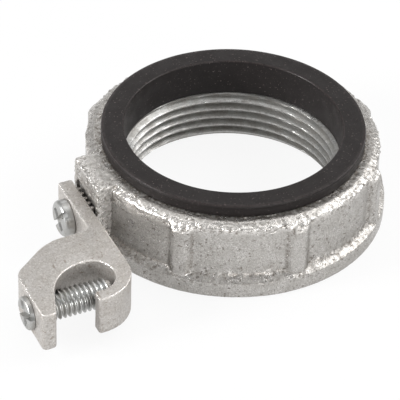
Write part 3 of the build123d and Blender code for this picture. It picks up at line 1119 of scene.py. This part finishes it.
def soft_lamp(name, place, size, watts):
    """A rectangular white lamp that faces the object."""
    lamp = bpy.data.lights.new(name, "AREA")
    lamp.shape = "RECTANGLE"
    lamp.size, lamp.size_y = size
    lamp.energy = watts
    holder = bpy.data.objects.new(name, lamp)
    holder.location = place
    holder.rotation_mode = "QUATERNION"
    holder.rotation_quaternion = (Vector(place) - CAMERA_TARGET).to_track_quat("Z", "Y")
    bpy.context.scene.collection.objects.link(holder)


def pale_floor():
    """The material of a floor that the camera sees as nearly white."""
    material, tree, _ = start_material("pale_floor", Base_Color=FLOOR_COLOUR, Roughness=0.9)
    nodes = material.node_tree.nodes
    white = tree.add("ShaderNodeEmission", {"Color": WHITE, "Strength": 1.0})
    matte = nodes["Principled BSDF"].outputs[0]
    blend = tree.add("ShaderNodeMixShader", {
        0: white_share(tree, 0.9, 0.6), 1: matte, 2: white.outputs[0]})
    tree.feed(blend.outputs[0], nodes["Material Output"].inputs["Surface"])
    return material


def white_world():
    """A surround that lights softly and that the camera sees as plain white."""
    world = bpy.data.worlds.new("studio")
    world.use_nodes = True
    tree = Tree(world.node_tree)
    lit = tree.add("ShaderNodeBackground", {"Color": WHITE, "Strength": SKY_STRENGTH})
    shown = tree.add("ShaderNodeBackground", {"Color": WHITE, "Strength": 1.0})
    both = tree.add("ShaderNodeMixShader", {
        0: white_share(tree, 1.0, 0.25), 1: lit.outputs[0], 2: shown.outputs[0]})
    tree.feed(both.outputs[0], world.node_tree.nodes["World Output"].inputs["Surface"])
    return world


def photo_camera():
    """The camera that took the photograph, as fitted."""
    camera = bpy.data.cameras.new("camera")
    camera.lens = CAMERA_LENS
    camera.clip_start = 0.01
    holder = bpy.data.objects.new("camera", camera)
    back = Vector((sin(CAMERA_AZIMUTH) * cos(CAMERA_ELEVATION),
                   -cos(CAMERA_AZIMUTH) * cos(CAMERA_ELEVATION), sin(CAMERA_ELEVATION)))
    right = (-back).cross(UPWARD).normalized()
    up = right.cross(-back)
    side = right * cos(CAMERA_ROLL) - up * sin(CAMERA_ROLL)
    over = right * sin(CAMERA_ROLL) + up * cos(CAMERA_ROLL)
    pose = Matrix((side, over, back)).transposed().to_4x4()
    pose.translation = CAMERA_TARGET + back * CAMERA_DISTANCE
    holder.matrix_world = pose
    return holder


class BUSHING_OT_stage(bpy.types.Operator):
    """Sets the pale floor, the soft lamps, the white surround and the camera"""

    bl_idname = "bushing.stage"
    bl_label = "Stage"

    def execute(self, context):
        scene = context.scene
        scene.view_settings.view_transform = "Standard"
        mesh = bpy.data.meshes.new("floor")
        corners = ((-1, -1, 0), (1, -1, 0), (1, 1, 0), (-1, 1, 0))
        mesh.from_pydata((np.array(corners) * FLOOR_REACH).tolist(), [], [[0, 1, 2, 3]])
        floor_object = bpy.data.objects.new("floor", mesh)
        floor_object.location.z = BODY_LOW.z * MM - FLOOR_GAP
        scene.collection.objects.link(floor_object)
        mesh.materials.append(pale_floor())
        scene.world = white_world()
        for lamp in LAMPS:
            soft_lamp(*lamp)
        holder = photo_camera()
        scene.collection.objects.link(holder)
        scene.camera = holder
        return {"FINISHED"}


class BUSHING_PT_panel(bpy.types.Panel):
    """Lists the bushing's pieces and finishes"""

    bl_idname = "BUSHING_PT_panel"
    bl_label = "Grounding bushing"
    bl_space_type = "VIEW_3D"
    bl_region_type = "UI"
    bl_category = "Bushing"

    def draw(self, context):
        layout = self.layout
        for operator in OPERATORS:
            layout.operator(operator.bl_idname)
        for group in (finish_of(context), shape_of(context)):
            for label in group.__annotations__:
                layout.prop(group, label)


OPERATORS = (
    BUSHING_OT_casting,
    BUSHING_OT_conduit_thread,
    BUSHING_OT_insulator,
    BUSHING_OT_lug,
    BUSHING_OT_lug_screw,
    BUSHING_OT_clamp_screw,
    BUSHING_OT_stage,
)
CLASSES = (BushingFinish, BushingShape) + OPERATORS + (BUSHING_PT_panel,)


def register():
    for each in CLASSES:
        bpy.utils.register_class(each)
    bpy.types.Scene.bushing_finish = bpy.props.PointerProperty(type=BushingFinish)
    bpy.types.Scene.bushing_shape = bpy.props.PointerProperty(type=BushingShape)


def unregister():
    del bpy.types.Scene.bushing_shape
    del bpy.types.Scene.bushing_finish
    for each in reversed(CLASSES):
        bpy.utils.unregister_class(each)


def main():
    register()
    bpy.ops.bushing.casting()
    bpy.ops.bushing.conduit_thread()
    bpy.ops.bushing.insulator()
    bpy.ops.bushing.lug()
    bpy.ops.bushing.lug_screw()
    bpy.ops.bushing.clamp_screw()
    bpy.ops.bushing.stage()


if __name__ == "__main__":
    main()
